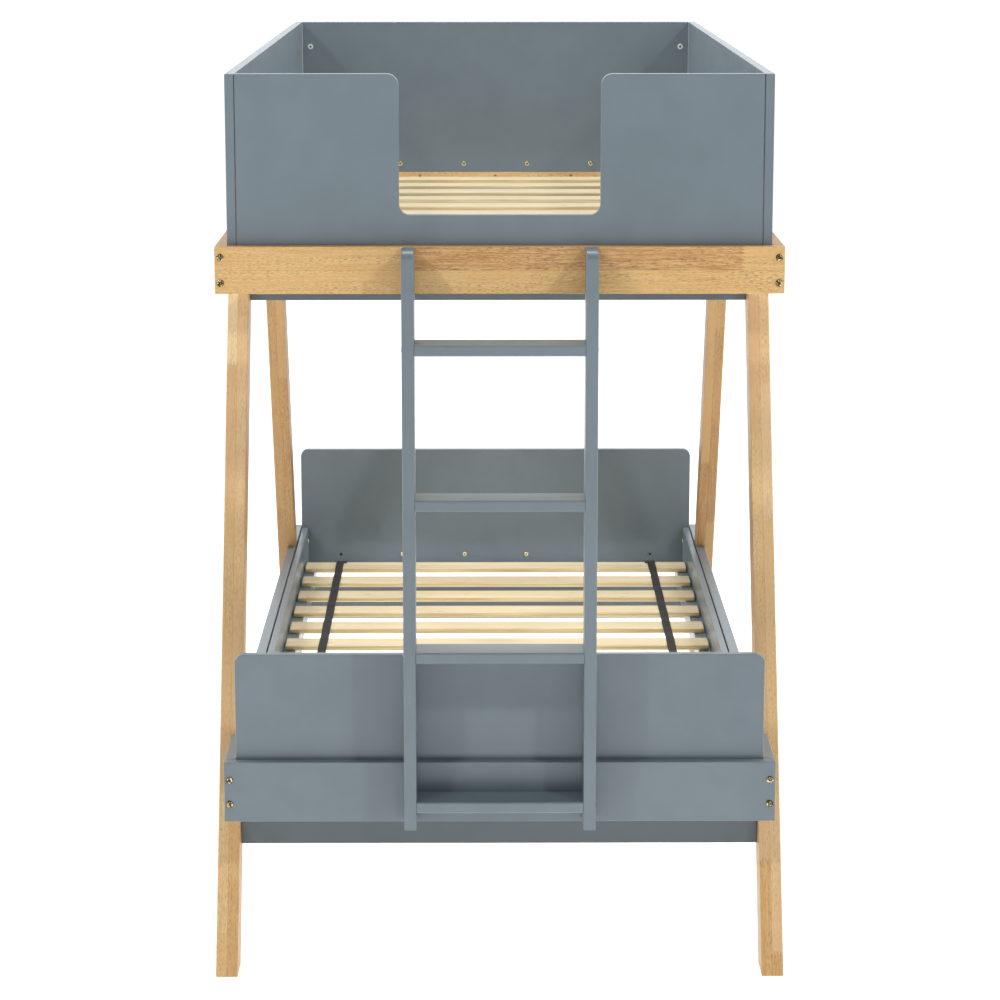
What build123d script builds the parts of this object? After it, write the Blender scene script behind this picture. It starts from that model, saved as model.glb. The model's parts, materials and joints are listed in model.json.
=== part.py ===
from build123d import *
import os

os.makedirs("parts", exist_ok=True)

# Bunk bed with two equal decks on four leaning legs and an upright ladder at one end.
# Millimetres. X is the bed's width, Y its length with the ladder end at -Y, Z is up from the floor.
# Every piece is drawn about the middle of the bed frame, then moved by ORIGIN_Y, so that the origin
# lies on the floor under the middle of the whole bed with its ladder.

# Bed frame
FRAME_W = 994.0  # over the side rails
FRAME_L = 2078.0  # over the end rails
RAIL_T = 20.0
BOARD_T = 16.0  # painted board
SEAM = 1.0  # joint line between a rail and the board inside it
LOW_SEAM = 2.4  # the wider joint line at the sides of the lower deck
UPPER_RAIL = (1257.0, 1340.0)  # bottom and top of the upper wooden rails
LOWER_RAIL = (298.0, 409.0)  # bottom and top of the lower painted rails
EDGE = 1.5  # eased edges of boards and rails

# Guard box round the upper deck
GUARD_TOP = 1637.0
CLEAT_TOP = 1281.0
ENTRY_W = 351.0
ENTRY_Z = 1393.0
ENTRY_TOP_R = 20.0
ENTRY_LOW_R = 18.0

# Low end panels of the lower deck
LOW_PANEL_TOP = 604.0
LOW_PANEL_R = 18.0

# Slat decks
SLAT_COUNT = 12
SLAT_PITCH = 151.0
SLAT_W = 68.0
SLAT_T = 12.0
SLAT_L = 911.0
SLAT_ROUND = 4.0
UPPER_SLAT_Z = 1271.0  # underside of the slats
LOWER_SLAT_Z = 341.0
LEDGER_W = 26.0
LOW_LEDGER_L = 1780.0
STRAP_X = 375.0
STRAP_W = 18.0
STRAP_T = 1.5
STRAP_OVER = 2.0  # how far a strap runs past the edge of the last slat
TAB_L = 22.0
TAB_W = 7.0
STAPLE = (10.0, 1.2, 0.8)

# Leaning legs
LEG_OUT = 519.0  # outer face
LEG_SINK = 2.8  # how far the bolt heads are sunk into the outer face
LEG_IN = 479.0  # inner face
LEG_DEPTH = 76.4  # along the bed, level with the floor
LEG_FOOT_Y = 1035.0  # outer edge of the foot
LEG_LEAN = 0.44  # how far the leg comes inwards for each unit of height
LEG_EDGE = 2.0

# Cross beams between the legs, close under the rails
BEAM_T = 22.0
BEAM_H = 87.0
UPPER_BEAM_Y = 463.0
LOWER_BEAM_Y = 885.0

# Ladder
LADDER_OUT = 170.5
LADDER_T = 22.0
LADDER_D = 70.0
LADDER_Z = (303.0, 1339.0)
LADDER_TOP_R = 14.0
STEP_TOPS = (1177.0, 903.0, 629.0, 355.0)
STEP_T = 20.0
STEP_EDGE = 3.0

# Bolts and screws: head radius, head height, shank radius
BIG_BOLT = (6.4, 2.4, 3.0)
PANEL_BOLT = (5.5, 2.2, 3.0)
STEP_SCREW = (4.5, 0.8, 2.2)
BOLT_SPREAD = 22.3  # half the spacing of a pair of bolts
HEAD_PLAY = 0.6  # clearance round a sunk head
PANEL_BOLT_X = (76.0, 228.0, 380.0)
UPPER_BOLT_Z = 1301.0
LOWER_BOLT_Z = 342.0
OPEN_HOLE_R = 3.2
CORNER_BOLT_X = 440.0
CORNER_BOLT_Z = 1579.0
SLEEVE = (6.3, 2.6, 1.0)  # outer radius, bore radius, how far it stands out
CLEAT_HOLES_X = (-362.0, -181.0, 0.0, 181.0, 362.0)
CLEAT_HOLE_Z = 1272.0

# Derived
HALF_W = FRAME_W / 2
HALF_L = FRAME_L / 2
SIDE_IN = HALF_W - RAIL_T  # inner face of a side rail
END_IN = HALF_L - RAIL_T  # inner face of an end rail
BOARD_OUT = SIDE_IN - SEAM
BOARD_IN = BOARD_OUT - BOARD_T
GUARD_END = BOARD_IN - SEAM  # half the width of the guard end panels
END_PANEL_IN = END_IN - BOARD_T
ORIGIN_Y = (LADDER_D - BIG_BOLT[1]) / 2
LADDER_IN = LADDER_OUT - LADDER_T
LADDER_FRONT = HALF_L + LADDER_D

pieces = {}
bolts = []
seats = []  # recesses for sunk heads and sleeves


def block(x, y, z, ease=EDGE):
    """A board that fills the spans x, y and z, with every edge eased."""
    body = Box(abs(x[1] - x[0]), abs(y[1] - y[0]), abs(z[1] - z[0]))
    if ease:
        body = fillet(body.edges(), ease)
    return Pos((x[0] + x[1]) / 2, (y[0] + y[1]) / 2, (z[0] + z[1]) / 2) * body


def both_sides(name, make):
    """Keep a piece drawn for the right-hand side and its mirror image for the left."""
    pieces[name + "_right"] = make
    pieces[name + "_left"] = mirror(make, about=Plane.YZ)


def both_ends(name, make):
    """Keep a piece drawn for the rear end and its mirror image for the ladder end."""
    pieces[name + "_rear"] = make
    pieces[name + "_front"] = mirror(make, about=Plane.XZ)


def bolt(kind, point, direction, length, socket=True):
    """A button-headed bolt: the head stands on point, the shank runs along direction."""
    head_r, head_h, shank_r = kind
    head = Pos(0, 0, head_h / 2) * Cylinder(head_r, head_h)
    head = fillet(head.edges().sort_by(Axis.Z)[-1], head_h * 0.7)
    body = head + Pos(0, 0, -length / 2) * Cylinder(shank_r, length)
    if socket:
        key = extrude(RegularPolygon(head_r * 0.42, 6), amount=head_h * 0.8)
        body -= Pos(0, 0, head_h * 0.3) * key
    turned = Plane(origin=point, z_dir=-Vector(*direction)).location * body
    bolts.append(turned)
    return turned


def drilled(body):
    """The body with a hole for every bolt and every sunk head or sleeve that enters it."""
    box = body.bounding_box()
    for item in bolts + seats:
        other = item.bounding_box()
        apart = (
            other.min.X > box.max.X or other.max.X < box.min.X
            or other.min.Y > box.max.Y or other.max.Y < box.min.Y
            or other.min.Z > box.max.Z or other.max.Z < box.min.Z
        )
        if not apart:
            body = body - item
    return body


def rails():
    """Two rectangular frames: end rails cover the ends of the side rails."""
    for deck, span in (("upper", UPPER_RAIL), ("lower", LOWER_RAIL)):
        both_sides(deck + "_side_rail", block((SIDE_IN, HALF_W), (-END_IN, END_IN), span))
        both_ends(deck + "_end_rail", block((-HALF_W, HALF_W), (END_IN, HALF_L), span))


def guard_box():
    """Painted boards inside the upper rails, with a U-shaped way in above the ladder."""
    span = (UPPER_RAIL[0], GUARD_TOP)
    both_sides("guard_side_panel", block((BOARD_IN, BOARD_OUT), (-END_IN, END_IN), span))
    rear = block((-GUARD_END, GUARD_END), (END_PANEL_IN, END_IN), (CLEAT_TOP, GUARD_TOP))
    pieces["guard_rear_panel"] = rear
    front = Box(2 * GUARD_END, BOARD_T, GUARD_TOP - CLEAT_TOP)
    front = Pos(0, 0, (GUARD_TOP + CLEAT_TOP) / 2) * front
    cut = Box(ENTRY_W, 3 * BOARD_T, 2 * (GUARD_TOP - ENTRY_Z))
    cut = fillet(cut.edges().filter_by(Axis.Y), ENTRY_LOW_R)
    front -= Pos(0, 0, GUARD_TOP) * cut
    lips = [
        e for e in front.edges().filter_by(Axis.Y)
        if abs(e.center().Z - GUARD_TOP) < 0.1 and abs(abs(e.center().X) - ENTRY_W / 2) < 0.1
    ]
    front = fillet(lips, ENTRY_TOP_R)
    faces = [f for f in front.faces() if abs(abs(f.normal_at().Y) - 1) < 0.001]
    rims = [e for f in faces for e in f.edges()]
    front = fillet(rims, EDGE)
    pieces["guard_front_panel"] = Pos(0, -(END_IN - BOARD_T / 2), 0) * front
    cleat = block((-GUARD_END, GUARD_END), (END_PANEL_IN, END_IN), (UPPER_RAIL[0], CLEAT_TOP), 0.8)
    for x in CLEAT_HOLES_X:
        hole = Pos(x, END_PANEL_IN + BOARD_T / 2, CLEAT_HOLE_Z) * Rot(90, 0, 0) * Cylinder(2.6, 40)
        cleat -= hole
    both_ends("upper_cleat", cleat)


def lower_box():
    """Side boards level with the lower rails, and a low panel at each end."""
    across = (BOARD_IN, SIDE_IN - LOW_SEAM)
    both_sides("lower_side_board", block(across, (-END_PANEL_IN, END_PANEL_IN), LOWER_RAIL))
    panel = Box(2 * BOARD_OUT, BOARD_T, LOW_PANEL_TOP - LOWER_RAIL[0])
    tops = [e for e in panel.edges().filter_by(Axis.Y) if e.center().Z > 0]
    panel = fillet(tops, LOW_PANEL_R)
    faces = [f for f in panel.faces() if abs(abs(f.normal_at().Y) - 1) < 0.001]
    panel = fillet([e for f in faces for e in f.edges()], EDGE)
    panel = Pos(0, END_PANEL_IN + BOARD_T / 2, (LOW_PANEL_TOP + LOWER_RAIL[0]) / 2) * panel
    for x in (-PANEL_BOLT_X[2], PANEL_BOLT_X[2]):
        hole = Pos(x, END_PANEL_IN + BOARD_T / 2, LOWER_BOLT_Z) * Rot(90, 0, 0) * Cylinder(OPEN_HOLE_R, 40)
        panel -= hole
    both_ends("lower_end_panel", panel)


def slat_deck(deck, under, ledger_bottom, ledger_half):
    """Slats across two ledgers, tied together by two webbing straps stapled to each slat."""
    ledger = block((BOARD_IN - LEDGER_W, BOARD_IN), (-ledger_half, ledger_half), (ledger_bottom, under), 1.0)
    both_sides(deck + "_ledger", ledger)
    one = Box(SLAT_L, SLAT_W, SLAT_T)
    one = fillet(one.edges().filter_by(Axis.X), SLAT_ROUND)
    one = fillet(one.faces().sort_by(Axis.X)[-1].edges() + one.faces().sort_by(Axis.X)[0].edges(), 0.8)
    first = -SLAT_PITCH * (SLAT_COUNT - 1) / 2
    ys = [first + SLAT_PITCH * i for i in range(SLAT_COUNT)]
    pieces[deck + "_slats"] = Compound([Pos(0, y, under + SLAT_T / 2) * one for y in ys])
    top = under + SLAT_T
    half = ys[-1] + SLAT_W / 2 + STRAP_OVER
    strap = block((STRAP_X - STRAP_W / 2, STRAP_X + STRAP_W / 2), (-half, half), (top, top + STRAP_T), 0)
    tab_x = (STRAP_X - STRAP_W / 2 - TAB_W, STRAP_X + STRAP_W / 2)
    for end in (-1, 1):
        strap += block(tab_x, (end * (half - TAB_L), end * half), (top, top + STRAP_T), 0)
    both_sides(deck + "_strap", strap)
    staple = Box(*STAPLE)
    over = top + STRAP_T + STAPLE[2] / 2
    spots = [Pos(s * STRAP_X, y + dy, over) * staple for y in ys for s in (-1, 1) for dy in (-15, 15)]
    pieces[deck + "_strap_staples"] = Compound(spots)


def legs():
    """Straight laminated legs that lean along the bed, halved where they cross the rails."""
    top = UPPER_RAIL[1]
    foot = -LEG_FOOT_Y
    head = foot + LEG_LEAN * top
    outline = Polyline((foot, 0), (foot + LEG_DEPTH, 0), (head + LEG_DEPTH, top), (head, top), close=True)
    body = extrude(Plane.YZ * make_face(outline), amount=LEG_OUT - LEG_IN)
    body = fillet(body.edges(), LEG_EDGE)
    body = Pos(LEG_IN, 0, 0) * body
    for low, high in (LOWER_RAIL, (UPPER_RAIL[0], UPPER_RAIL[1] + 10)):
        slot = Box(2 * (HALF_W - LEG_IN), 3000, high - low)
        body -= Pos(LEG_IN, 0, (low + high) / 2) * slot
    both_sides("leg_front", body)
    both_sides("leg_rear", mirror(body, about=Plane.XZ))


def beams():
    """Painted cross beams from leg to leg."""
    for deck, top, y in (("upper", UPPER_RAIL[0], UPPER_BEAM_Y), ("lower", LOWER_RAIL[0], LOWER_BEAM_Y)):
        beam = block((-LEG_IN, LEG_IN), (y - BEAM_T / 2, y + BEAM_T / 2), (top - BEAM_H, top))
        both_ends(deck + "_beam", beam)


def ladder():
    """Two uprights bolted to the end rails, with four flat steps housed between them."""
    span_y = (-LADDER_FRONT, -HALF_L)
    side = Box(LADDER_T, LADDER_D, LADDER_Z[1] - LADDER_Z[0])
    corner = [e for e in side.edges().filter_by(Axis.X) if e.center().Z > 0 and e.center().Y < 0]
    side = fillet(corner, LADDER_TOP_R)
    faces = [f for f in side.faces() if abs(abs(f.normal_at().X) - 1) < 0.001]
    side = fillet([e for f in faces for e in f.edges()], EDGE + 0.5)
    middle_y = (span_y[0] + span_y[1]) / 2
    side = Pos(LADDER_OUT - LADDER_T / 2, middle_y, (LADDER_Z[0] + LADDER_Z[1]) / 2) * side
    both_sides("ladder_upright", side)
    for number, top in enumerate(STEP_TOPS):
        step = Box(2 * LADDER_IN, LADDER_D, STEP_T)
        step = fillet(step.edges().filter_by(Axis.X), STEP_EDGE)
        pieces["ladder_step_%d" % (len(STEP_TOPS) - number)] = Pos(0, middle_y, top - STEP_T / 2) * step


def frame_bolts():
    """Pairs of bolts through the end rails into the ends of the side rails."""
    spots = []
    x = HALF_W - RAIL_T / 2
    for low, high in (UPPER_RAIL, LOWER_RAIL):
        for side in (-1, 1):
            for end in (-1, 1):
                for dz in (-BOLT_SPREAD, BOLT_SPREAD):
                    point = (side * x, end * HALF_L, (low + high) / 2 + dz)
                    spots.append(bolt(BIG_BOLT, point, (0, -end, 0), 75))
    pieces["frame_corner_bolts"] = Compound(spots)


def panel_bolts():
    """A row of bolts from inside each end panel into the end rail, and one at each corner."""
    upper = []
    lower = []
    for end in (-1, 1):
        inside = end * END_PANEL_IN
        for side in (-1, 1):
            for x in PANEL_BOLT_X:
                upper.append(bolt(PANEL_BOLT, (side * x, inside, UPPER_BOLT_Z), (0, end, 0), 32))
            for x in PANEL_BOLT_X[:2]:
                lower.append(bolt(PANEL_BOLT, (side * x, inside, LOWER_BOLT_Z), (0, end, 0), 32))
            corner = (side * BOARD_IN, end * (END_PANEL_IN - 18), 379.0)
            lower.append(bolt(PANEL_BOLT, corner, (side, 0, 0), 22))
    pieces["upper_panel_bolts"] = Compound(upper)
    pieces["lower_panel_bolts"] = Compound(lower)


def corner_sleeves():
    """Open plastic sleeves set into the guard end panels, high up near the corners."""
    outer, bore, proud = SLEEVE
    depth = BOARD_T - 4 + proud
    sleeve = Cylinder(outer, depth)
    sleeve = fillet(sleeve.edges().sort_by(Axis.Z)[-1], proud * 0.6) - Cylinder(bore, 2 * depth)
    sleeves = []
    for end in (-1, 1):
        for side in (-1, 1):
            face = Vector(side * CORNER_BOLT_X, end * (END_PANEL_IN - proud), CORNER_BOLT_Z)
            middle = face + Vector(0, end * depth / 2, 0)
            sleeves.append(Plane(origin=middle, z_dir=(0, -end, 0)).location * sleeve)
            seats.append(Plane(origin=middle, z_dir=(0, -end, 0)).location * Cylinder(outer, depth))
    pieces["guard_corner_sleeves"] = Compound(sleeves)


def sunk_bolt(point, side, length):
    """A bolt whose head lies in a round recess in a leg's outer face."""
    recess = Cylinder(BIG_BOLT[0] + HEAD_PLAY, 20, align=(Align.CENTER, Align.CENTER, Align.MIN))
    seats.append(Plane(origin=point, z_dir=(side, 0, 0)).location * recess)
    return bolt(BIG_BOLT, point, (-side, 0, 0), length)


def leg_bolts():
    """Bolts from outside each leg into the rails and into the ends of the cross beams."""
    face = LEG_OUT - LEG_SINK
    rail_bolts = []
    beam_bolts = []
    for side in (-1, 1):
        for end in (-1, 1):
            for low, high in (UPPER_RAIL, LOWER_RAIL):
                for dz in (-BOLT_SPREAD, BOLT_SPREAD):
                    z = (low + high) / 2 + dz
                    y = end * (LEG_FOOT_Y - LEG_LEAN * z - LEG_DEPTH / 2)
                    rail_bolts.append(sunk_bolt((side * face, y, z), side, 36))
            for top, y in ((UPPER_RAIL[0], UPPER_BEAM_Y), (LOWER_RAIL[0], LOWER_BEAM_Y)):
                for dz in (-BOLT_SPREAD, BOLT_SPREAD):
                    point = (side * face, end * y, top - BEAM_H / 2 + dz)
                    beam_bolts.append(sunk_bolt(point, side, 82))
    pieces["leg_to_rail_bolts"] = Compound(rail_bolts)
    pieces["leg_to_beam_bolts"] = Compound(beam_bolts)


def ladder_bolts():
    """Bolts from inside the end boards into the uprights, and screws into the ends of the steps."""
    hooks = []
    for side in (-1, 1):
        x = side * (LADDER_OUT - LADDER_T / 2)
        for z in (1294.0, 1326.0, 330.0, 384.0):
            hooks.append(bolt(PANEL_BOLT, (x, -END_PANEL_IN, z), (0, -1, 0), 82))
    pieces["ladder_bolts"] = Compound(hooks)
    screws = []
    for top in STEP_TOPS:
        for side in (-1, 1):
            for y in (-HALF_L - 18, -HALF_L - 52):
                point = (side * LADDER_OUT, y, top - STEP_T / 2)
                screws.append(bolt(STEP_SCREW, point, (-side, 0, 0), 60, socket=False))
    pieces["ladder_step_screws"] = Compound(screws)


rails()
guard_box()
lower_box()
slat_deck("upper", UPPER_SLAT_Z, UPPER_RAIL[0], END_PANEL_IN)
slat_deck("lower", LOWER_SLAT_Z, LOWER_RAIL[0], LOW_LEDGER_L / 2)
legs()
beams()
ladder()
solid_names = list(pieces)
frame_bolts()
panel_bolts()
corner_sleeves()
leg_bolts()
ladder_bolts()

for name in solid_names:
    if "slats" not in name and "strap" not in name:
        pieces[name] = drilled(pieces[name])

for name, shape in pieces.items():
    export_step(Pos(0, ORIGIN_Y, 0) * shape, "parts/" + name + ".step")
    print(name, len(shape.solids()))
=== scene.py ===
import json
import math

import bmesh
import bpy
from mathutils import Matrix, Vector


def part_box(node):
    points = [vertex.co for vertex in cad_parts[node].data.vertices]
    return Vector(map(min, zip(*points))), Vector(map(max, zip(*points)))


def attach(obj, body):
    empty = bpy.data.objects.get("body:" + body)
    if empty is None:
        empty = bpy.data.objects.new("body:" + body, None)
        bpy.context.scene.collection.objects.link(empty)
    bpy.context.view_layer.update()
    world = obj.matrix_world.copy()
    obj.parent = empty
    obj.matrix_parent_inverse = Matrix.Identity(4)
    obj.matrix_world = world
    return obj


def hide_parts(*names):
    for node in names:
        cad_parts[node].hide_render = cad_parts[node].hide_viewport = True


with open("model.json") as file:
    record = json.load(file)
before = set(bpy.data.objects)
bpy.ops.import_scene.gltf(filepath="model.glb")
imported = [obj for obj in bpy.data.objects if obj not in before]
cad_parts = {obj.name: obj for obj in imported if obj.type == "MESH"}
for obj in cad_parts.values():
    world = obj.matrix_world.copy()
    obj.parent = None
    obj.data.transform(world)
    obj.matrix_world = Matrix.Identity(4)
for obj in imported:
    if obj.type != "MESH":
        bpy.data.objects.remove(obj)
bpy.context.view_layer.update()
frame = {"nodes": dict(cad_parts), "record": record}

record = frame["record"]
# Kinds of node, with the numbers of their sockets where these aren't in plain order.
# Mapping: 0 vector, 1 location, 2 rotation, 3 scale. Noise: 2 scale, 3 detail, 4 roughness, 8 distortion.
# Voronoi: 2 scale. Mix of colours: 0 factor, 6 and 7 the two colours, output 2 the result.
MATH = "ShaderNodeMath"
MIX = "ShaderNodeMix"
RAMP = "ShaderNodeValToRGB"
NOISE = "ShaderNodeTexNoise"
CELLS = "ShaderNodeTexVoronoi"
PLACE = "ShaderNodeMapping"
WHITE = "ShaderNodeTexWhiteNoise"
VECTOR = "ShaderNodeVectorMath"


# ---------------------------------------------------------------- small tools

def linear(code):
    """An sRGB hex colour as the linear colour a shader socket takes."""
    parts = [int(code[i:i + 2], 16) / 255 for i in (1, 3, 5)]
    return [p / 12.92 if p <= 0.04045 else ((p + 0.055) / 1.055) ** 2.4 for p in parts] + [1.0]


def put(tree, kind, inputs=None, stops=None, **settings):
    """Add one node with its settings; an input is a value or the socket that feeds it, stops are a ramp's."""
    node = tree.nodes.new(kind)
    for key, value in settings.items():
        setattr(node, key, value)
    for key, value in (inputs or {}).items():
        if isinstance(value, bpy.types.NodeSocket):
            tree.links.new(value, node.inputs[key])
        else:
            node.inputs[key].default_value = value
    for place, tone in stops or ():
        elements = node.color_ramp.elements
        tint = linear(tone) if isinstance(tone, str) else (tone, tone, tone, 1.0)
        (elements.new(place) if 0.0 < place < 1.0 else elements[0 if place < 0.5 else -1]).color = tint
    return node.outputs


def finished(tree, colour, relief=None, **shader):
    """Close a material: colour, roughness and relief (height, depth, strength) into one surface."""
    inputs = {"Base Color": colour}
    inputs.update({key.replace("_", " "): value for key, value in shader.items()})
    if relief:
        bump = {"Height": relief[0], "Distance": relief[1], "Strength": relief[2]}
        inputs["Normal"] = put(tree, "ShaderNodeBump", bump)[0]
    surface = put(tree, "ShaderNodeBsdfPrincipled", inputs)
    put(tree, "ShaderNodeOutputMaterial", {"Surface": surface[0]})


def started(name):
    """A new material with an empty tree."""
    material = bpy.data.materials.new(name)
    material.use_nodes = True
    material.node_tree.nodes.clear()
    return material, material.node_tree


def piece(name, bm, material, slot, *nodes):
    """Turn a finished mesh into a piece that stands for CAD nodes and rides on the bed."""
    bmesh.ops.recalc_face_normals(bm, faces=bm.faces[:])
    mesh = bpy.data.meshes.new(name)
    bm.to_mesh(mesh)
    bm.free()
    obj = bpy.data.objects.new(name, mesh)
    bpy.context.scene.collection.objects.link(obj)
    obj.data.materials.append(material)
    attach(obj, "root")
    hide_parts(*nodes)
    return obj


# ---------------------------------------------------------------- materials

def rubberwood(name, rows, move, stave, block, seed, tones, grain=0.45, dark=0.75):
    """Finger-jointed rubberwood under clear satin lacquer.

    Honey-coloured staves glued side by side, made of blocks whose colour steps at zigzag finger
    joints, with many short dark pores along the grain, darker end grain and a low even sheen.
    rows are the directions of the grain, across the staves and into the face. stave is a stave's width,
    block a block's length, seed picks the blocks' tones, grain and dark are how strong lines and pores are.
    """
    material, tree = started(name)
    turn = Matrix(rows).to_euler("XYZ")
    where = put(tree, "ShaderNodeTexCoord")
    place = put(tree, PLACE, {0: where["Object"], 1: move, 2: turn})[0]
    along, across, _ = put(tree, "ShaderNodeSeparateXYZ", {0: place})
    strip = put(tree, MATH, {0: across, 1: stave}, operation="DIVIDE")[0]
    row = put(tree, MATH, {0: strip}, operation="FLOOR")[0]
    # finger joints: teeth 10 mm long, one every 6 mm across the stave
    tooth = put(tree, MATH, {0: across, 1: 0.003}, operation="DIVIDE")[0]
    tooth = put(tree, MATH, {0: tooth, 1: 1.0}, operation="PINGPONG")[0]
    stepped = put(tree, MATH, {0: tooth, 1: 0.010, 2: along}, operation="MULTIPLY_ADD")[0]
    offset = put(tree, MATH, {0: row, 1: 0.37}, operation="MULTIPLY")[0]
    spot = put(tree, MATH, {0: stepped, 1: 1.0 / block, 2: offset}, operation="MULTIPLY_ADD")[0]
    cell = put(tree, MATH, {0: spot}, operation="FLOOR")[0]
    # every block has its own tone, from 0 for the reddest to 1 for the palest
    mark = put(tree, MATH, {0: row, 1: 78.233, 2: seed}, operation="MULTIPLY_ADD")[0]
    mark = put(tree, MATH, {0: cell, 1: 12.9898, 2: mark}, operation="MULTIPLY_ADD")[0]
    mark = put(tree, MATH, {0: mark}, operation="SINE")[0]
    mark = put(tree, MATH, {0: mark, 1: 97.31}, operation="MULTIPLY")[0]
    mark = put(tree, MATH, {0: mark}, operation="FRACT")[0]
    # and is another bit of tree
    key = put(tree, "ShaderNodeCombineXYZ", {0: cell, 1: row, 2: 3.0})[0]
    shift = put(tree, WHITE, {0: key}, noise_dimensions="3D")[1]
    shift = put(tree, VECTOR, {0: shift, 1: (3.0, 3.0, 3.0)}, operation="MULTIPLY")[0]
    wood = put(tree, VECTOR, {0: place, 1: shift}, operation="ADD")[0]
    # growth lines about 3 mm apart, drawn out some thirty times along the grain
    lines = put(tree, PLACE, {0: wood, 3: (9.0, 270.0, 270.0)})[0]
    streak = put(tree, NOISE, {0: lines, 2: 1.0, 3: 4.0, 4: 0.62, 8: 0.4})[0]
    wide = put(tree, PLACE, {0: wood, 3: (2.6, 42.0, 42.0)})[0]
    cloud = put(tree, NOISE, {0: wide, 2: 1.0, 3: 2.0, 4: 0.5, 8: 0.8})[0]
    # pores: dashes 1 mm wide and 8 mm long, drawn twice as coarse as in the tree so that they show
    dashes = put(tree, PLACE, {0: wood, 3: (120.0, 1050.0, 1050.0)})[0]
    pore = put(tree, NOISE, {0: dashes, 2: 1.0, 3: 1.5, 4: 0.6})[0]
    pore = put(tree, RAMP, {0: pore}, ((0.0, 0.0), (0.50, 0.0), (0.62, 1.0), (1.0, 1.0)))[0]
    patch = put(tree, RAMP, {0: cloud}, ((0.0, 0.35), (0.35, 0.35), (0.62, 1.0), (1.0, 1.0)))[0]
    pore = put(tree, MATH, {0: pore, 1: patch}, operation="MULTIPLY")[0]
    base = put(tree, RAMP, {0: mark}, tones)[0]
    dark_line, light_line = "#b68046", "#eccb94"
    fine = ((0.0, dark_line), (0.30, dark_line), (0.47, "#d9ab68"), (0.64, light_line), (1.0, light_line))
    fine = put(tree, RAMP, {0: streak}, fine)[0]
    strength = put(tree, MATH, {0: mark, 1: -0.25, 2: grain + 0.12}, operation="MULTIPLY_ADD")[0]
    colour = put(tree, MIX, {0: strength, 6: base, 7: fine}, data_type="RGBA")[2]
    drift = ((0.0, "#d09e5e"), (0.3, "#d09e5e"), (0.7, "#e9c68a"), (1.0, "#e9c68a"))
    drift = put(tree, RAMP, {0: cloud}, drift)[0]
    colour = put(tree, MIX, {0: 0.2, 6: colour, 7: drift}, data_type="RGBA")[2]
    amount = put(tree, MATH, {0: mark, 1: -0.3, 2: dark}, operation="MULTIPLY_ADD")[0]
    amount = put(tree, MATH, {0: pore, 1: amount}, operation="MULTIPLY")[0]
    colour = put(tree, MIX, {0: amount, 6: colour, 7: linear("#74461f")}, data_type="RGBA")[2]
    # the reddest blocks are quarter-sawn: long dark lines, some 2 mm apart and 50 mm long
    quarter = put(tree, PLACE, {0: wood, 3: (20.0, 520.0, 520.0)})[0]
    quarter = put(tree, NOISE, {0: quarter, 2: 1.0, 3: 2.0, 4: 0.6, 8: 0.3})[0]
    quarter = put(tree, RAMP, {0: quarter}, ((0.0, 0.0), (0.50, 0.0), (0.64, 1.0), (1.0, 1.0)))[0]
    red = put(tree, MATH, {0: mark, 1: -1.5, 2: 0.5}, operation="MULTIPLY_ADD", use_clamp=True)[0]
    quarter = put(tree, MATH, {0: quarter, 1: red}, operation="MULTIPLY")[0]
    colour = put(tree, MIX, {0: quarter, 6: colour, 7: linear("#8f5a2c")}, data_type="RGBA")[2]
    # glue lines between staves and at the finger joints
    side = put(tree, MATH, {0: strip, 1: 0.5}, operation="PINGPONG")[0]
    glue = put(tree, MATH, {0: side, 1: 0.0004 / stave}, operation="LESS_THAN")[0]
    joint = put(tree, MATH, {0: spot, 1: 0.5}, operation="PINGPONG")[0]
    joint = put(tree, MATH, {0: joint, 1: 0.0006 / block}, operation="LESS_THAN")[0]
    glue = put(tree, MATH, {0: glue, 1: joint}, operation="MAXIMUM")[0]
    glue = put(tree, MATH, {0: glue, 1: 0.30}, operation="MULTIPLY")[0]
    colour = put(tree, MIX, {0: glue, 6: colour, 7: linear("#8a5a30")}, data_type="RGBA")[2]
    # end grain: fine speckle, browner than the faces
    facing = put(tree, PLACE, {0: where["Normal"], 2: turn}, vector_type="NORMAL")[0]
    facing = put(tree, "ShaderNodeSeparateXYZ", {0: facing})[0]
    facing = put(tree, MATH, {0: facing}, operation="ABSOLUTE")[0]
    end = put(tree, RAMP, {0: facing}, ((0.0, 0.0), (0.75, 0.0), (0.92, 1.0), (1.0, 1.0)))[0]
    dots = put(tree, PLACE, {0: wood, 3: (200.0, 900.0, 900.0)})[0]
    dots = put(tree, NOISE, {0: dots, 2: 1.0, 3: 2.0})[0]
    butt = ((0.0, "#8e6033"), (0.4, "#b88850"), (0.6, "#d3a66c"), (1.0, "#dcb57f"))
    butt = put(tree, RAMP, {0: dots}, butt)[0]
    colour = put(tree, MIX, {0: end, 6: colour, 7: butt}, data_type="RGBA")[2]
    rough = put(tree, MATH, {0: streak, 1: 0.16, 2: 0.36}, operation="MULTIPLY_ADD")[0]
    rough = put(tree, MATH, {0: pore, 1: 0.15, 2: rough}, operation="MULTIPLY_ADD")[0]
    height = put(tree, MATH, {0: streak, 1: 0.35}, operation="MULTIPLY")[0]
    height = put(tree, MATH, {0: height, 1: pore}, operation="SUBTRACT")[0]
    finished(tree, colour, (height, 0.00012, 0.6), Roughness=rough, IOR=1.5, Coat_Weight=0.12,
             Coat_Roughness=0.32)
    return material


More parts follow.
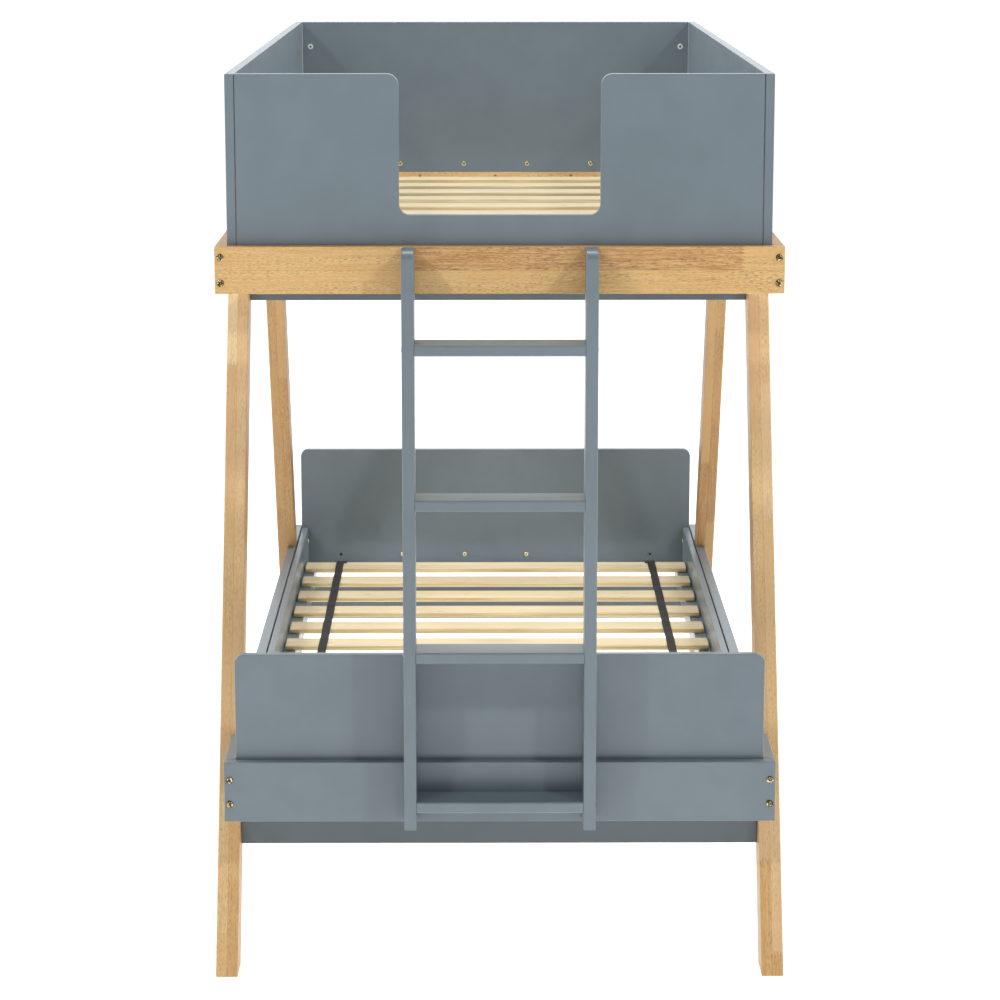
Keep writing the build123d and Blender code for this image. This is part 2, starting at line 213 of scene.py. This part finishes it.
def grey_paint(name, dark, light):
    """Blue-grey satin paint sprayed on board: a faint orange peel, hardly any clouding, small pale nibs
    where dust dried in, and a smooth sheen that picks up what stands near it."""
    material, tree = started(name)
    place = put(tree, PLACE, {0: put(tree, "ShaderNodeTexCoord")["Object"]})[0]
    cloud = put(tree, NOISE, {0: place, 2: 2.4, 3: 3.0, 4: 0.5, 8: 0.3})[0]
    drift = put(tree, NOISE, {0: place, 2: 16.0, 3: 2.0, 4: 0.5})[0]
    # orange peel, ripples 2 to 3 mm across
    peel = put(tree, NOISE, {0: place, 2: 420.0, 3: 2.0, 4: 0.5})[0]
    nib = put(tree, CELLS, {0: place, 2: 210.0})[0]
    nib = put(tree, RAMP, {0: nib}, ((0.0, 1.0), (0.03, 1.0), (0.07, 0.0), (1.0, 0.0)))[0]
    colour = put(tree, RAMP, {0: cloud}, ((0.0, dark), (0.32, dark), (0.68, light), (1.0, light)))[0]
    soft = put(tree, RAMP, {0: drift}, ((0.0, dark), (0.35, dark), (0.65, light), (1.0, light)))[0]
    colour = put(tree, MIX, {0: 0.35, 6: colour, 7: soft}, data_type="RGBA")[2]
    amount = put(tree, MATH, {0: nib, 1: 0.16}, operation="MULTIPLY")[0]
    colour = put(tree, MIX, {0: amount, 6: colour, 7: linear("#a3afb6")}, data_type="RGBA")[2]
    rough = put(tree, MATH, {0: drift, 1: 0.14, 2: 0.30}, operation="MULTIPLY_ADD")[0]
    height = put(tree, MATH, {0: nib, 1: 0.5, 2: peel}, operation="MULTIPLY_ADD")[0]
    finished(tree, colour, (height, 0.00006, 0.35), Roughness=rough, IOR=1.5, Coat_Weight=0.35,
             Coat_Roughness=0.2)
    return material


def slat_poplar():
    """Planed bare poplar: pale cream faces with long straight streaks and a few dark flecks, yellower and
    darker on the sawn edges (the darkness partly painted shade, as the tops take the light), dry and dull."""
    material, tree = started("bare_planed_poplar_slats")
    where = put(tree, "ShaderNodeTexCoord")
    place = put(tree, PLACE, {0: where["Object"]})[0]
    _, y, z = put(tree, "ShaderNodeSeparateXYZ", {0: place})
    # one number for each slat: they lie 151 mm apart, on two decks
    slat = put(tree, MATH, {0: y, 1: 1 / 0.151, 2: 0.2762}, operation="MULTIPLY_ADD")[0]
    slat = put(tree, MATH, {0: slat}, operation="ROUND")[0]
    deck = put(tree, MATH, {0: z, 1: 0.8}, operation="GREATER_THAN")[0]
    key = put(tree, "ShaderNodeCombineXYZ", {0: slat, 1: deck, 2: 5.0})[0]
    mark = put(tree, WHITE, {0: key}, noise_dimensions="3D")
    shift = put(tree, VECTOR, {0: mark[1], 1: (4.0, 4.0, 4.0)}, operation="MULTIPLY")[0]
    wood = put(tree, VECTOR, {0: place, 1: shift}, operation="ADD")[0]
    lines = put(tree, PLACE, {0: wood, 3: (5.0, 230.0, 230.0)})[0]
    streak = put(tree, NOISE, {0: lines, 2: 1.0, 3: 4.0, 4: 0.55, 8: 0.4})[0]
    wide = put(tree, PLACE, {0: wood, 3: (2.2, 40.0, 40.0)})[0]
    cloud = put(tree, NOISE, {0: wide, 2: 1.0, 3: 2.0, 4: 0.5, 8: 0.5})[0]
    flecks = put(tree, PLACE, {0: wood, 3: (11.0, 75.0, 75.0)})[0]
    fleck = put(tree, CELLS, {0: flecks, 2: 1.0})[0]
    fleck = put(tree, RAMP, {0: fleck}, ((0.0, 1.0), (0.06, 0.9), (0.13, 0.0), (1.0, 0.0)))[0]
    rare = put(tree, RAMP, {0: cloud}, ((0.0, 0.0), (0.47, 0.0), (0.55, 1.0), (1.0, 1.0)))[0]
    fleck = put(tree, MATH, {0: fleck, 1: rare}, operation="MULTIPLY")[0]
    base = ((0.0, "#dccba3"), (0.35, "#e3d5b2"), (0.7, "#e0d1b6"), (1.0, "#dac8a0"))
    base = put(tree, RAMP, {0: mark[0]}, base)[0]
    fine = ((0.0, "#c4aa7c"), (0.32, "#c4aa7c"), (0.5, "#dccdae"), (0.66, "#e8dcbe"), (1.0, "#e8dcbe"))
    fine = put(tree, RAMP, {0: streak}, fine)[0]
    colour = put(tree, MIX, {0: 0.42, 6: base, 7: fine}, data_type="RGBA")[2]
    pink = ((0.0, "#d6bd98"), (0.35, "#d6bd98"), (0.65, "#e6d9ba"), (1.0, "#e6d9ba"))
    pink = put(tree, RAMP, {0: cloud}, pink)[0]
    colour = put(tree, MIX, {0: 0.3, 6: colour, 7: pink}, data_type="RGBA")[2]
    amount = put(tree, MATH, {0: fleck, 1: 0.8}, operation="MULTIPLY")[0]
    colour = put(tree, MIX, {0: amount, 6: colour, 7: linear("#6b4a28")}, data_type="RGBA")[2]
    # sawn edges, all the upright faces: yellower, with rough saw lines, and darker partly as painted shade,
    # since the tops take the light
    flat = put(tree, "ShaderNodeSeparateXYZ", {0: where["Normal"]})[2]
    flat = put(tree, MATH, {0: flat}, operation="ABSOLUTE")[0]
    edge = put(tree, RAMP, {0: flat}, ((0.0, 1.0), (0.45, 0.9), (0.93, 0.0), (1.0, 0.0)))[0]
    sawn_tone_and_painted_shade = ((0.0, "#c2aa78"), (0.35, "#c2aa78"), (0.65, "#dccb9f"), (1.0, "#dccb9f"))
    sawn_tone_and_painted_shade = put(tree, RAMP, {0: streak}, sawn_tone_and_painted_shade)[0]
    colour = put(tree, MIX, {0: edge, 6: colour, 7: sawn_tone_and_painted_shade}, data_type="RGBA")[2]
    rough = put(tree, MATH, {0: streak, 1: 0.2, 2: 0.5}, operation="MULTIPLY_ADD")[0]
    finished(tree, colour, (streak, 0.00012, 0.5), Roughness=rough, IOR=1.45)
    return material


def black_webbing():
    """Woven polyester webbing: slanting rows of threads, near black, a little dusty, with a dull sheen on
    the rounded threads."""
    material, tree = started("woven_black_polyester_webbing")
    place = put(tree, "ShaderNodeTexCoord")["Object"]
    # twill ribs 2.5 mm apart, drawn coarser than the real thread so that they show
    turned = put(tree, PLACE, {0: place, 2: (0.0, 0.0, math.radians(38))})[0]
    ribs = {0: turned, 1: 125.0, 2: 0.6, 3: 1.0, 4: 2.0}
    rib = put(tree, "ShaderNodeTexWave", ribs, wave_type="BANDS", bands_direction="X")[1]
    fuzz = put(tree, NOISE, {0: place, 2: 900.0, 3: 2.0, 4: 0.6})[0]
    worn = put(tree, NOISE, {0: place, 2: 22.0, 3: 3.0, 4: 0.5})[0]
    colour = put(tree, RAMP, {0: rib}, ((0.0, "#0a0909"), (0.6, "#121111"), (1.0, "#1c1a19")))[0]
    amount = put(tree, MATH, {0: worn, 1: 0.22}, operation="MULTIPLY")[0]
    colour = put(tree, MIX, {0: amount, 6: colour, 7: linear("#272422")}, data_type="RGBA")[2]
    height = put(tree, MATH, {0: fuzz, 1: 0.25, 2: rib}, operation="MULTIPLY_ADD")[0]
    finished(tree, colour, (height, 0.0004, 0.8), Roughness=0.75, Sheen_Weight=0.06, Sheen_Roughness=0.5)
    return material


def plated_steel(name, tones):
    """Plated bolt heads: mirror-like domes with blotchy plating in the given tones, and painted shade, near
    black, down in the hex sockets.
    """
    material, tree = started(name)
    place = put(tree, PLACE, {0: put(tree, "ShaderNodeTexCoord")["Object"]})[0]
    blotch = put(tree, NOISE, {0: place, 2: 350.0, 3: 3.0, 4: 0.6})[0]
    marks = put(tree, NOISE, {0: place, 2: 1800.0, 3: 2.0, 4: 0.5})[0]
    colour = put(tree, RAMP, {0: blotch}, tones)[0]
    # painted shade: the colour goes near black where the surface is closed in, down the hex sockets
    open_sky = put(tree, "ShaderNodeAmbientOcclusion", {1: 0.003}, samples=8)[1]
    painted_hollow_shade = put(tree, RAMP, {0: open_sky}, ((0.0, 1.0), (0.6, 1.0), (0.85, 0.0), (1.0, 0.0)))[0]
    colour = put(tree, MIX, {0: painted_hollow_shade, 6: colour, 7: linear("#120e0a")}, data_type="RGBA")[2]
    rough = put(tree, MATH, {0: marks, 1: 0.12, 2: 0.10}, operation="MULTIPLY_ADD")[0]
    finished(tree, colour, (marks, 0.00004, 0.4), Roughness=rough, Metallic=1.0)
    return material


def nylon():
    """Moulded nylon sleeves: nearly white, faintly mottled, smooth with a soft shine, with painted shade,
    near black, down the bore.
    """
    material, tree = started("pale_grey_moulded_nylon")
    place = put(tree, PLACE, {0: put(tree, "ShaderNodeTexCoord")["Object"]})[0]
    mottle = put(tree, NOISE, {0: place, 2: 500.0, 3: 2.0})[0]
    colour = ((0.0, "#d0d2d0"), (0.35, "#d0d2d0"), (0.65, "#eceeec"), (1.0, "#eceeec"))
    colour = put(tree, RAMP, {0: mottle}, colour)[0]
    # painted shade: the colour goes near black down the bore, where the surface is closed in
    open_sky = put(tree, "ShaderNodeAmbientOcclusion", {1: 0.006}, samples=8)[1]
    painted_hollow_shade = put(tree, RAMP, {0: open_sky}, ((0.0, 1.0), (0.4, 1.0), (0.6, 0.0), (1.0, 0.0)))[0]
    colour = put(tree, MIX, {0: painted_hollow_shade, 6: colour, 7: linear("#1c1f20")}, data_type="RGBA")[2]
    rough = put(tree, MATH, {0: mottle, 1: 0.15, 2: 0.25}, operation="MULTIPLY_ADD")[0]
    finished(tree, colour, (mottle, 0.00003, 0.3), Roughness=rough)
    return material


def staple_wire():
    """Black-coated wire: dark grey, mottled where the coating is thin, with a soft sheen."""
    material, tree = started("black_coated_staple_wire")
    place = put(tree, PLACE, {0: put(tree, "ShaderNodeTexCoord")["Object"]})[0]
    spangle = put(tree, CELLS, {0: place, 2: 1500.0})[0]
    colour = put(tree, RAMP, {0: spangle}, ((0.0, "#1e1e1e"), (0.8, "#3a3a39"), (1.0, "#44433f")))[0]
    rough = put(tree, MATH, {0: spangle, 1: 0.15, 2: 0.35}, operation="MULTIPLY_ADD")[0]
    finished(tree, colour, (spangle, 0.00003, 0.3), Roughness=rough, Metallic=0.0)
    return material


LEAN = math.atan(0.44)  # of the legs, from upright
forwards = Vector((0, math.sin(LEAN), math.cos(LEAN)))
backwards = Vector((0, -math.sin(LEAN), math.cos(LEAN)))
left = Vector((-1, 0, 0))

# the rear legs' tones are darker than the front legs' as painted shade: the same wood, standing back in the
# bed's shade
brown_honey_painted_shade = ((0.0, "#8e6439"), (0.3, "#9f7848"), (0.6, "#ab8553"), (1.0, "#b99665"))
honey = ((0.0, "#bd8650"), (0.2, "#c4915a"), (0.4, "#d3aa6e"), (0.7, "#dcb679"), (1.0, "#e2bf88"))
pale_honey = ((0.0, "#cda06a"), (0.3, "#dcb47c"), (0.6, "#eccd9c"), (0.8, "#deb78a"), (1.0, "#f0d8ad"))

RAIL_SEAM = 1.2985  # height at which the rails' two staves meet
RAIL_STAVE = 0.0415
LEG_SEAM = 0.499  # distance from the bed's middle at which the legs' two staves meet
LEG_STAVE = 0.01996
LEG_BLOCK = 0.27  # length of a glued block

wood_across = rubberwood("rubberwood_grain_across_bed", ((1, 0, 0), (0, 0, 1), (0, -1, 0)),
                         (0.152, -RAIL_SEAM, 0.0), RAIL_STAVE, 0.58, 21.95, honey)
wood_along = rubberwood("rubberwood_grain_along_bed", ((0, 1, 0), (0, 0, 1), (1, 0, 0)),
                        (0.21, -RAIL_SEAM, 0.0), RAIL_STAVE, 0.5, 2.0, honey)
wood_leg_front = rubberwood("rubberwood_front_legs", (forwards, left, forwards.cross(left)),
                            (0.05, -LEG_SEAM, 0.0), LEG_STAVE, LEG_BLOCK, 0.83, pale_honey, 0.22, 0.55)
# painted shade: the rear legs take the darker tones
wood_leg_rear_darkened_for_shade = rubberwood("rubberwood_rear_legs_darkened_for_shade", (backwards, left, backwards.cross(left)),
                           (0.11, -LEG_SEAM, 0.0), LEG_STAVE, LEG_BLOCK, 4.0, brown_honey_painted_shade, 0.22, 0.6)
paint = grey_paint("blue_grey_satin_paint_on_board", "#67747c", "#707e86")
# the cross beams hang under the decks: they take the same paint, darkened as painted shade for the shade
# under the decks
beam_paint_darkened_for_shade = grey_paint("blue_grey_paint_darkened_for_shade_on_beams", "#535e63", "#5b666c")
webbing = black_webbing()
wire = staple_wire()
# the bronze bolts' tones: blotches from dark bronze to near white, partly the plating's colour and partly
# painted reflection: the darkest stand in for dark surroundings mirrored in the heads, the palest are painted
# glints
dark_plate_and_painted_glints = ((0.0, "#2a2317"), (0.38, "#43382a"), (0.52, "#7d6c48"), (0.62, "#efe2b4"), (1.0, "#f5ebc8"))
yellow_plate = ((0.0, "#a8965e"), (0.35, "#cbbb80"), (0.55, "#e8dcae"), (0.75, "#f6efd2"), (1.0, "#f8f3de"))
finishes = {
    "grey_paint": paint,
    "slat_wood": slat_poplar(),
    "black_webbing": webbing,
    "bronze_bolts": plated_steel("bronze_plated_steel_with_painted_glints", dark_plate_and_painted_glints),
    "yellow_bolts": plated_steel("yellow_zinc_plated_steel", yellow_plate),
    "pale_sleeves": nylon(),
    "staple_steel": wire,
}


def material_for(node, slot):
    """The finish of a node; rubberwood is chosen by the way its grain runs."""
    # the beams get the darker copy of the paint: painted shade
    if "beam" in node and slot == "grey_paint":
        return beam_paint_darkened_for_shade
    if slot != "natural_wood":
        return finishes[slot]
    if node.startswith("leg_"):
        return wood_leg_front if "front" in node else wood_leg_rear_darkened_for_shade
    return wood_along if "side_rail" in node or "ledger" in node else wood_across


for item in record["subparts"]:
    obj = frame["nodes"][item["node"]]
    obj.data.materials.clear()
    obj.data.materials.append(material_for(item["node"], item["material_slot"]))


# ---------------------------------------------------------------- straps and staples

SLAT_COUNT = 12
SLAT_PITCH = 0.151
STRAP_X = 0.375
STRAP_W = 0.018
THICK = 0.0014  # of the webbing
SAG = 0.0015  # how far the webbing hangs down between two slats
TAB = (0.025, 0.021)  # the folded end, across and along the strap
TAB_RISE = 1.45  # middle of the folded end above the strap's underside, in thicknesses
TAB_EDGE = 0.0005
WIRE_R = 0.00045
CROWN = 0.0095  # length of a staple's crown
WIRE_LEG = 0.0018
WIRE_DROP = 0.0007  # from the crown's middle line down to the middle of a leg
STAPLE_Y = 0.015  # each of a pair from the slat's middle line


def ribbon(bm, x, y0, y1, z, width, cuts, sag, middle):
    """A flat band of webbing from y0 to y1, hanging a little between the slats and a little wavy."""
    grid = bmesh.ops.create_grid(bm, x_segments=6, y_segments=cuts, size=0.5)["verts"]
    bmesh.ops.scale(bm, verts=grid, vec=(width, y1 - y0, 1.0))
    bmesh.ops.translate(bm, verts=grid, vec=(x, (y0 + y1) / 2, z))
    for v in grid:
        between = 0.5 - 0.5 * math.cos(2 * math.pi * (v.co.y - middle) / SLAT_PITCH - math.pi)
        v.co.z -= sag * max(0.0, between - 0.55) ** 1.5 / 0.302
        v.co.x += 0.0003 * math.sin(v.co.y * 31.0 + x * 9.0)
    faces = list({f for v in grid for f in v.link_faces})
    bmesh.ops.solidify(bm, geom=faces, thickness=-THICK)


def strap(name, node, side):
    """One strap on its slats, with its ends folded under into a wider tab on the last slats."""
    low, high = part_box(node)
    bm = bmesh.new()
    x = side * STRAP_X
    middle = (low[1] + high[1]) / 2
    base = low[2]
    ribbon(bm, x, low[1], high[1], base, STRAP_W, 230, SAG, middle)
    inner = x - side * (TAB[0] - STRAP_W) / 2
    for end, edge in ((1, low[1]), (-1, high[1])):
        cube = bmesh.ops.create_cube(bm, size=1.0)["verts"]
        bmesh.ops.scale(bm, verts=cube, vec=(TAB[0], TAB[1], THICK))
        bmesh.ops.translate(bm, verts=cube, vec=(inner, edge + end * TAB[1] / 2, base + THICK * TAB_RISE))
        rim = [e for e in bm.edges if all(v in cube for v in e.verts)]
        bmesh.ops.bevel(bm, geom=rim, offset=TAB_EDGE, segments=2, profile=0.5, affect="EDGES", material=-1)
    return piece(name, bm, webbing, "black_webbing", node)


def rod(bm, length, turn, place):
    """One straight length of staple wire."""
    cone = bmesh.ops.create_cone(bm, cap_ends=True, segments=8, radius1=WIRE_R, radius2=WIRE_R, depth=length)
    verts = cone["verts"]
    bmesh.ops.rotate(bm, verts=verts, cent=(0, 0, 0), matrix=Matrix.Rotation(turn, 3, "Y"))
    bmesh.ops.translate(bm, verts=verts, vec=place)


def staples(name, node):
    """Wire staples across the straps, two to each crossing of a strap and a slat.

    Each is three straight rods: a crown and two short legs."""
    low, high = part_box(node)
    bm = bmesh.new()
    middle = (low[1] + high[1]) / 2
    top = high[2] - WIRE_R
    for number in range(SLAT_COUNT):
        for x in (-STRAP_X, STRAP_X):
            for across in (-STAPLE_Y, STAPLE_Y):
                y = middle + (number - (SLAT_COUNT - 1) / 2) * SLAT_PITCH + across
                rod(bm, CROWN, math.pi / 2, (x, y, top))
                for end in (-1, 1):
                    rod(bm, WIRE_LEG, 0.0, (x + end * (CROWN / 2 - WIRE_R), y, top - WIRE_DROP))
    return piece(name, bm, wire, "staple_steel", node)


for deck in ("upper", "lower"):
    strap(deck + "_webbing_right", deck + "_strap_right", 1)
    strap(deck + "_webbing_left", deck + "_strap_left", -1)
    staples(deck + "_wire_staples", deck + "_strap_staples")


# ---------------------------------------------------------------- light, floor and camera

def floor():
    """A plain pale floor that reaches past the horizon of the view, lit from below like a light table."""
    bm = bmesh.new()
    bmesh.ops.create_grid(bm, x_segments=1, y_segments=1, size=120.0)
    mesh = bpy.data.meshes.new("pale_floor")
    bm.to_mesh(mesh)
    bm.free()
    obj = bpy.data.objects.new("pale_floor", mesh)
    bpy.context.scene.collection.objects.link(obj)
    material, tree = started("matt_white_studio_floor")
    place = put(tree, "ShaderNodeTexCoord")["Object"]
    soft = put(tree, NOISE, {0: place, 2: 0.8, 3: 2.0})[0]
    colour = put(tree, RAMP, {0: soft}, ((0.0, "#dedede"), (1.0, "#e6e6e6")))[0]
    # the glow grows from the bed outwards, so that the floor stays even where the lamps fall away
    far = put(tree, VECTOR, {0: place}, operation="LENGTH")["Value"]
    far = put(tree, MATH, {0: far, 1: 0.12}, operation="MULTIPLY")[0]
    glow = put(tree, RAMP, {0: far}, ((0.0, 0.54), (1.0, 0.98)))[0]
    finished(tree, colour, Roughness=0.9, Emission_Color=glow, Emission_Strength=1.0)
    obj.data.materials.append(material)


def softbox(name, place, aim, size, watts):
    """A soft rectangular lamp at place, turned towards aim."""
    data = bpy.data.lights.new(name, "AREA")
    data.shape = "RECTANGLE"
    data.size, data.size_y = size
    data.energy = watts
    obj = bpy.data.objects.new(name, data)
    bpy.context.scene.collection.objects.link(obj)
    obj.location = place
    obj.rotation_euler = (Vector(aim) - Vector(place)).to_track_quat("-Z", "Y").to_euler()


floor()
softbox("right_softbox", (3.7, -4.7, 5.0), (0, -0.5, 0.9), (0.45, 0.45), 108)
softbox("left_softbox", (-3.7, -4.7, 5.0), (0, -0.5, 0.9), (0.45, 0.45), 98)
softbox("top_softbox", (0.0, 0.6, 5.0), (0, 0.1, 0), (3.0, 4.0), 150)
# a white card beyond the far end, above the view, for the sheen on the steps and the paint
softbox("far_card", (0.0, 9.0, 3.45), (0, 0, 2.4), (9.0, 3.6), 120)
for side, name in ((1, "right_side_softbox"), (-1, "left_side_softbox")):
    softbox(name, (side * 4.2, 0.3, 3.4), (0, 0.1, 0.4), (2.0, 2.0), 150)

world = bpy.data.worlds.new("studio_surround")
world.use_nodes = True
world.node_tree.nodes["Background"].inputs[0].default_value = linear("#ffffff")
world.node_tree.nodes["Background"].inputs[1].default_value = 0.14
bpy.context.scene.world = world

camera_data = bpy.data.cameras.new("camera")
camera_data.sensor_width = 36.0
camera_data.lens = 109.59
camera_data.clip_end = 300.0
camera = bpy.data.objects.new("camera", camera_data)
camera.location = (-0.0271, -6.2813, 1.9571)
camera.rotation_euler = (math.radians(90 - 11.43), 0.0, math.radians(-0.298))
bpy.context.scene.collection.objects.link(camera)
bpy.context.scene.camera = camera
bpy.context.scene.view_settings.view_transform = "Standard"
